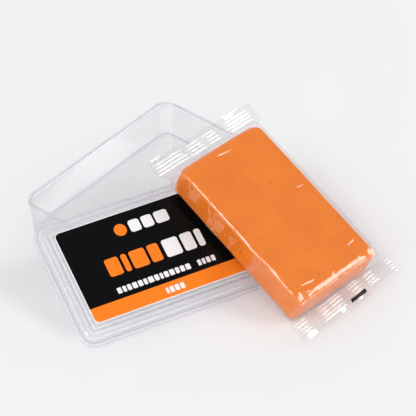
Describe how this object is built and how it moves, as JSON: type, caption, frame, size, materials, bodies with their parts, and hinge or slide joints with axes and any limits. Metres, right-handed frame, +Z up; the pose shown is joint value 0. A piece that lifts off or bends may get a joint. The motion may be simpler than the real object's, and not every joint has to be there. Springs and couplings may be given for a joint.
{
  "type": "clay bar kit",
  "caption": "Detailing clay bar in a sealed clear wrapper, leaning on the labelled lid of its clear rectangular storage box.",
  "frame": {"origin": "centre of the base tray's underside, on the surface that the kit stands on", "axes": "+X along the tray's long side, +Y along its short side away from the leaning lid, +Z up out of the open tray"},
  "size_m": [0.1365, 0.1497, 0.0463],
  "materials": {
    "clear_styrene": "clear gloss",
    "printed_label": "semi-gloss print",
    "orange_clay": "soft satin",
    "clear_film": "clear gloss film"
  },
  "bodies": {
    "tray": {"base_tray": "clear_styrene"},
    "lid": {"lid": "clear_styrene", "lid_label": "printed_label"},
    "wrapped_bar": {"clay_bar": "orange_clay", "film_sleeve": "clear_film", "film_end_seal_upper": "clear_film", "film_end_seal_lower": "clear_film", "film_back_seam": "clear_film"}
  },
  "joints": [
    {"name": "lid_lift", "type": "slide", "parent": "tray", "child": "lid", "axis": [0, 0, 1], "range_m": [0, 0.06]},
    {"name": "bar_lift", "type": "slide", "parent": "lid", "child": "wrapped_bar", "axis": [0, 0, 1], "range_m": [0, 0.06]}
  ]
}
